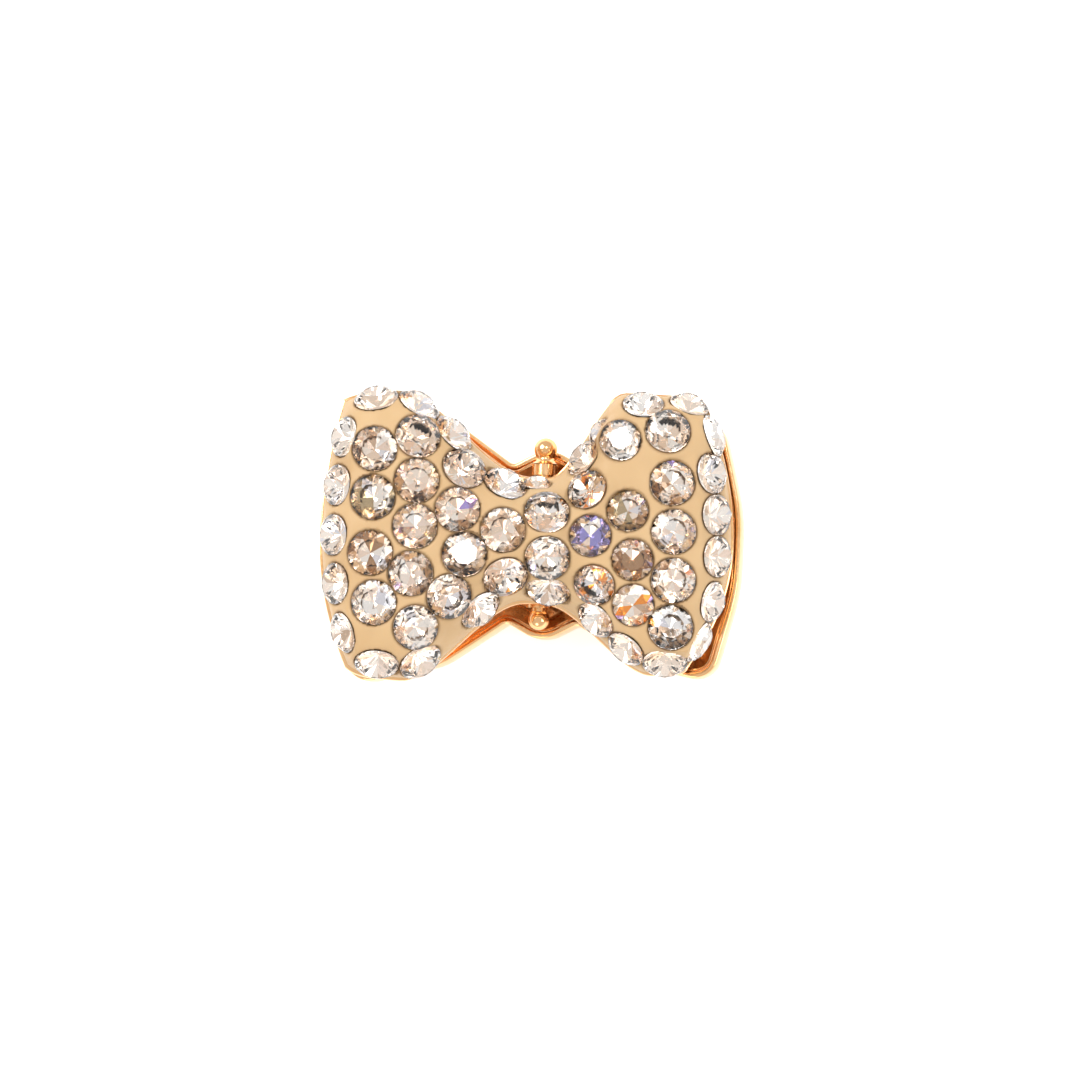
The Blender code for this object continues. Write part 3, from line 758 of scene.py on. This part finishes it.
def frontJawMesh():
    columns, rows = frontShell["columns"], frontShell["rows"]
    skin = Skin()
    under = -bow["clay"] - bow["shellGap"]
    rim, top = bow["rimToPin"], bow["rimToPin"] + bow["flange"]
    corner = frontShell["edgeRound"]
    outer = skin.grid(domeGrid(under, columns, rows))
    inner = skin.grid(domeGrid(under - bow["shell"], columns, rows))
    profile = [(bow["overhang"] - corner * (1 - sin(a)), top - corner * (1 - cos(a)))
               for a in (0, radians(45), radians(90))]
    profile += [(bow["overhang"] - corner * (1 - cos(a)), rim + corner * (1 - sin(a)))
                for a in (0, radians(45), radians(90))]
    rings = [edgeOf(outer), skin.ring(bowRing(under, top, columns, rows))]
    rings += [skin.ring(bowRing(grow, z, columns, rows)) for grow, z in profile]
    rings += [skin.ring(bowRing(under - bow["shell"], rim, columns, rows)), edgeOf(inner)]
    for ring, other in zip(rings, rings[1:]):
        skin.join(ring, other)
    return skin.mesh("front_jaw", frontFrame)


frontJaw = addPiece("front_jaw_gilt", frontJawMesh(), goldFinish)
cutOrJoin(frontJaw, teethTool(
    "front teeth", frontFrame, teeth["frontHeights"], teeth["frontX"],
    (-0.8 * mm, 3.4 * mm), False), "UNION")
addHingeLugs(frontJaw, frontFrame, lugs["front"], (0.0, bow["rimToPin"] + 0.4 * mm))
frontJaw.data.shade_smooth()
frontJaw.data.set_sharp_from_angle(angle=radians(35))
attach(frontJaw, "front")
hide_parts("front_jaw")
print("front jaw cast")



tray = {
    "longEnd": 13.6 * mm,
    "toothedEnd": 12.75 * mm,
    "longCorner": (12.6 * mm, 9.6 * mm),
    "toothedCorner": (11.2 * mm, 8.6 * mm),
    "longShoulder": (6.4 * mm, 8.0 * mm),
    "toothedShoulder": (6.9 * mm, 7.75 * mm),
    "cornerRound": 1.6 * mm,
    "notchAt": (2.3 * mm, 5.15 * mm),
    "knotHalf": 6.4 * mm,
    "wallStart": 1.2 * mm,
    "bottomInset": 1.0 * mm,
    "floor": 1.0 * mm,
    "rim": pinPlace.z - 1.15 * mm,
    "roughness": 0.10 * mm,       # height of the rough casting inside
    "roughAs": 9.0 * mm,          # the slope is polished only beyond this far from the pin
}


def trayOutline(step=radians(6), longest=0.45 * mm):
    # places and outward directions round the bow-shaped tray; corners are arcs
    notchX, notchY = tray["notchAt"]
    longX, longY = tray["longShoulder"]
    upper = [
        (tray["toothedEnd"], 2.5 * mm, 12 * mm),
        (*tray["toothedCorner"], tray["cornerRound"]),
        (*tray["toothedShoulder"], 4.0 * mm),
        (notchX, notchY, 0.5 * mm),
        (0.0, tray["knotHalf"], 2.2 * mm),
        (-notchX, notchY, 0.5 * mm),
        (-longX, longY, 4.0 * mm),
        (-tray["longCorner"][0], tray["longCorner"][1], tray["cornerRound"]),
        (-tray["longEnd"], 2.5 * mm, 12 * mm),
    ]
    corners = upper + [(x, -y, radius) for x, y, radius in reversed(upper)]
    made = []
    for i, (x, y, radius) in enumerate(corners):
        corner = Vector((x, y))
        before = (Vector(corners[i - 1][:2]) - corner).normalized()
        after = (Vector(corners[(i + 1) % len(corners)][:2]) - corner).normalized()
        turn = pi - before.angle(after)
        middle = corner + (before + after).normalized() * (radius / cos(turn / 2))
        start = corner + before * radius * tan(turn / 2) - middle
        side = 1 if before.cross(after) < 0 else -1
        pieces = max(2, ceil(turn / step))
        for k in range(pieces + 1):
            spoke = Matrix.Rotation(side * turn * k / pieces, 2) @ start
            made.append((middle + spoke, spoke.normalized() * side))
    filled = []
    for (place, out), (after, _) in zip(made, made[1:] + made[:1]):
        gaps = max(1, ceil((after - place).length / longest))
        for k in range(gaps):
            filled.append((place.lerp(after, k / gaps), out))
    return filled


def trayMesh():
    outline = trayOutline()
    rim, floor, inset = tray["rim"], tray["floor"], tray["bottomInset"]
    profile = [(inset * (1 - cos(a)), tray["wallStart"] * (1 - sin(a)))
               for a in np.radians((90, 78, 66, 54, 42, 30, 20, 10, 0))]
    profile += [(0.0, rim - 0.16 * mm), (0.03 * mm, rim - 0.06 * mm), (0.09 * mm, rim - 0.01 * mm),
                (0.15 * mm, rim), (0.30 * mm, rim), (0.36 * mm, rim - 0.02 * mm),
                (0.40 * mm, rim - 0.10 * mm), (0.43 * mm, rim - 0.20 * mm), (0.48 * mm, rim - 0.20 * mm),
                (0.52 * mm, rim - 0.13 * mm), (0.60 * mm, rim - 0.14 * mm)]
    slopeStart, slopeEnd = Vector((0.60 * mm, rim - 0.14 * mm)), Vector((1.32 * mm, floor + 0.75 * mm))
    profile += [tuple(slopeStart.lerp(slopeEnd, k / 5)) for k in range(1, 6)]
    profile += [(1.38 * mm, floor + 0.45 * mm), (1.42 * mm, floor + 0.12 * mm), (1.50 * mm, floor)]
    skin = Skin()
    rings = []
    for offset, z in profile:
        rings.append(skin.ring([(*(p - out * offset), z) for p, out in outline]))
    for ring, other in zip(rings, rings[1:]):
        skin.join(ring, other)
    skin.cap(rings[0])
    last = [Vector(skin.points[i]) for i in rings[-1]]
    before = rings[-1]
    for share in (0.96, 0.91, 0.85, 0.79, 0.73, 0.67, 0.60, 0.53, 0.46, 0.38, 0.30, 0.22, 0.14, 0.07):
        ring = []
        for p in last:
            x, y = p.x * share, p.y * share
            lump = noise.fractal(Vector((x, y, 0)) * (1.3 / mm), 0.7, 2.1, 4)
            ring.append((x, y, floor + lump * tray["roughness"]))
        ring = skin.ring(ring)
        skin.join(before, ring)
        before = ring
    skin.cap(before)
    mesh = skin.mesh("back_jaw", backFrame)
    return mesh


backJaw = addPiece("back_jaw_gilt", trayMesh(), goldFinish)
pinSeat = Matrix.Translation(pinPlace)
rootZ = 0.7 * mm - pinPlace.z
cutOrJoin(backJaw, teethTool(
    "back teeth", pinSeat, teeth["backHeights"], teeth["backX"], (rootZ, -0.3 * mm), True), "UNION")
addHingeLugs(backJaw, pinSeat, lugs["back"], (rootZ, 0.0))
backJaw.data.shade_smooth()
backJaw.data.set_sharp_from_angle(angle=radians(35))
backJaw.data.materials.append(castFinish)
for face in backJaw.data.polygons:      # the floor and the foot of the slope were left as cast
    low = tray["floor"] - 0.5 * mm < face.center.z < tray["floor"] + 0.55 * mm
    middle = abs(face.center.x - pinPlace.x) < tray["roughAs"]
    slope = middle and tray["floor"] < face.center.z < tray["rim"] - 0.2 * mm and face.normal.z > 0.3
    if (low and face.normal.z > 0.05) or slope:
        face.material_index = 1
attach(backJaw, "back")
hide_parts("back_jaw")
print("back jaw cast")



pin = {
    "radius": 0.5 * mm,
    "head": 0.7 * mm,
    "headAt": -4.95 * mm,
    "tipAt": 6.05 * mm,
    "cap": 0.76 * mm,
    "collar": 0.86 * mm,           # foot of the cap, where it meets the lug
    "lugFace": 5.10 * mm,
    "around": 48,
}


def turnedMesh(name, profile):
    # a profile of (radius, place along the pin), turned round the pin's axis
    skin = Skin()
    rings = []
    for radius, y in profile:
        if radius < 1e-7:
            rings.append(skin.ring([(0, y, 0)]))
            continue
        angles = [2 * pi * k / pin["around"] for k in range(pin["around"])]
        rings.append(skin.ring([(radius * cos(a), y, radius * sin(a)) for a in angles]))
    for ring, other in zip(rings, rings[1:]):
        if len(ring) == 1 or len(other) == 1:
            point, loop = (ring, other) if len(ring) == 1 else (other, ring)
            for k in range(len(loop)):
                skin.faces.append([point[0], loop[k], loop[(k + 1) % len(loop)]])
        else:
            skin.join(ring, other)
    return skin.mesh(name, Matrix.Translation(pinPlace), radians(40))


def arcPoints(radius, centre, start, end, count):
    angles = [start + (end - start) * k / count for k in range(count + 1)]
    return [(max(radius * cos(a), 0.0), centre + radius * sin(a)) for a in angles]


neck = asin(pin["radius"] / pin["head"])
pinProfile = [(0.0, pin["tipAt"]), (pin["radius"], pin["tipAt"])]
pinProfile += arcPoints(pin["head"], pin["headAt"], pi / 2 - neck, -pi / 2, 20)
addPiece("hinge_pin_gilt", turnedMesh("hinge_pin", pinProfile), goldFinish,
         "back", ["hinge_pin"])

boreRadius = pin["radius"] + 0.02 * mm
capProfile = arcPoints(pin["cap"], pin["tipAt"], pi / 2, radians(-42), 18)
capProfile += [(0.555 * mm, pin["tipAt"] - 0.60 * mm), (0.60 * mm, pin["lugFace"] + 0.20 * mm),
               (pin["collar"] * 0.86, pin["lugFace"] + 0.08 * mm), (pin["collar"], pin["lugFace"]),
               (boreRadius, pin["lugFace"]), (boreRadius, pin["tipAt"] + 0.03 * mm),
               (0.0, pin["tipAt"] + 0.03 * mm)]
addPiece("pin_cap_gilt", turnedMesh("pin_cap", capProfile), goldFinish,
         "back", ["pin_cap"])

wire = {
    "radius": 0.25 * mm,
    "coil": 1.05 * mm,
    "halfWidth": 1.45 * mm,
    "turns": 5.5,
    "leg": 6.9 * mm,
    "lowLeg": tray["floor"] - pinPlace.z + 0.30 * mm,
    "highLeg": 3.55 * mm,
    "perTurn": 28,
}


def springMesh():
    curve = bpy.data.curves.new("spring path", "CURVE")
    curve.dimensions = "3D"
    curve.bevel_depth = wire["radius"]
    curve.bevel_resolution = 4
    curve.use_fill_caps = True
    start = Vector((-wire["leg"], -wire["halfWidth"], wire["lowLeg"]))
    end = Vector((-wire["leg"], wire["halfWidth"], wire["highLeg"]))
    steps = int(wire["perTurn"] * wire["turns"])
    coil = []
    for k in range(steps + 1):
        share = k / steps
        angle = -pi / 2 + 2 * pi * wire["turns"] * share
        coil.append(Vector((wire["coil"] * cos(angle), wire["halfWidth"] * (2 * share - 1),
                            wire["coil"] * sin(angle))))
    points = [start.lerp(coil[0], k / 12) for k in range(12)] + coil
    points += [coil[-1].lerp(end, k / 12) for k in range(1, 13)]
    spline = curve.splines.new("POLY")
    spline.points.add(len(points) - 1)
    for point, place in zip(spline.points, points):
        point.co = (*(place + pinPlace), 1.0)
    holder = bpy.data.objects.new("spring path", curve)
    bpy.context.scene.collection.objects.link(holder)
    bpy.context.view_layer.update()
    mesh = bpy.data.meshes.new_from_object(
        holder.evaluated_get(bpy.context.evaluated_depsgraph_get()))
    bpy.data.objects.remove(holder)
    bm = bmesh.new()
    bm.from_mesh(mesh)
    bmesh.ops.remove_doubles(bm, verts=bm.verts, dist=1e-6)
    bm.to_mesh(mesh)
    bm.free()
    mesh.materials.clear()
    return tidyMesh(mesh, radians(40))


spring = addPiece("spring_wire_coil", springMesh(), wireFinish)
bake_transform(spring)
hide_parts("spring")
print("pin and spring fitted")



studio = {
    "wall": (0.93, 0.94, 0.96),
    "wallGlow": 0.85,
    "tableTone": (0.93, 0.93, 0.93, 1),
    "tableGlow": 0.42,
    # softboxes: direction from the clip, distance, size, brightness, warmth
    "boxes": {
        "key": ((-0.55, 0.45, 0.90), 0.42, 0.20, 9.0, (1.0, 0.98, 0.95)),
        "fill": ((0.85, -0.20, 0.65), 0.45, 0.18, 5.0, (0.96, 0.98, 1.0)),
        "low": ((-0.2, -0.9, 0.55), 0.45, 0.16, 4.0, (1.0, 0.97, 0.93)),
        "high": ((0.25, 0.35, 1.0), 0.40, 0.06, 22.0, (1.0, 1.0, 1.0)),
    },
}


def paleTable():
    material, shader, do = newFinish("pale table")
    grain = do["grain"](4 * mm, 3.0)
    do["feed"]("Base Color", do["blendTones"](grain, studio["tableTone"], (0.90, 0.90, 0.90, 1)))
    do["feed"]("Roughness", do["band"](grain, 0.6, 0.7))
    shader.inputs["Emission Color"].default_value = (1, 1, 1, 1)
    shader.inputs["Emission Strength"].default_value = studio["tableGlow"]
    return material


def setTable():
    bm = bmesh.new()
    bmesh.ops.create_grid(bm, x_segments=4, y_segments=4, size=1.5)
    mesh = bpy.data.meshes.new("table")
    bm.to_mesh(mesh)
    bm.free()
    top = addPiece("table", mesh, paleTable())
    top.location = (0, 0, cadBounds[0].z - 0.02 * mm)


def softbox(name, direction, distance, size, brightness, colour):
    light = bpy.data.lights.new(name, "AREA")
    light.shape = "SQUARE"
    light.size = size
    light.energy = brightness * pi * size * size
    light.color = colour
    lamp = bpy.data.objects.new(name, light)
    bpy.context.scene.collection.objects.link(lamp)
    away = Vector(direction).normalized()
    lamp.location = pinPlace + away * distance
    lamp.rotation_euler = away.to_track_quat("Z", "Y").to_euler()


def setWalls():
    world = bpy.data.worlds.new("studio walls")
    world.use_nodes = True
    back = world.node_tree.nodes["Background"]
    back.inputs["Color"].default_value = (*studio["wall"], 1)
    back.inputs["Strength"].default_value = studio["wallGlow"]
    bpy.context.scene.world = world


setTable()
setWalls()
for name, box in studio["boxes"].items():
    softbox(name, *box)

lens = {
    "focal": 150.0,
    "sensor": 36.0,
    "frameWidth": 69.7 * mm,                 # how wide the picture is at the clip
    "from": (0.156, -0.087, 0.984),          # a little from the right and from below
    "roll": radians(2.4),
    "aim": (-0.13 * mm, 0.19 * mm),          # right and up of the pin's middle
}


def setCamera():
    data = bpy.data.cameras.new("camera")
    data.lens, data.sensor_width = lens["focal"], lens["sensor"]
    data.clip_start, data.clip_end = 0.01, 5.0
    camera = bpy.data.objects.new("camera", data)
    bpy.context.scene.collection.objects.link(camera)
    back = Vector(lens["from"]).normalized()
    right = Vector((0, 1, 0)).cross(back).normalized()
    up = back.cross(right)
    right, up = (right * cos(lens["roll"]) + up * sin(lens["roll"]),
                 up * cos(lens["roll"]) - right * sin(lens["roll"]))
    aim = pinPlace + right * lens["aim"][0] + up * lens["aim"][1]
    place = aim + back * (lens["frameWidth"] * lens["focal"] / lens["sensor"])
    camera.matrix_world = Matrix((
        (right.x, up.x, back.x, place.x), (right.y, up.y, back.y, place.y),
        (right.z, up.z, back.z, place.z), (0, 0, 0, 1)))
    bpy.context.scene.camera = camera


setCamera()
bpy.context.scene.view_settings.view_transform = "Standard"
print("table, lights and camera set")

bpy.context.view_layer.update()
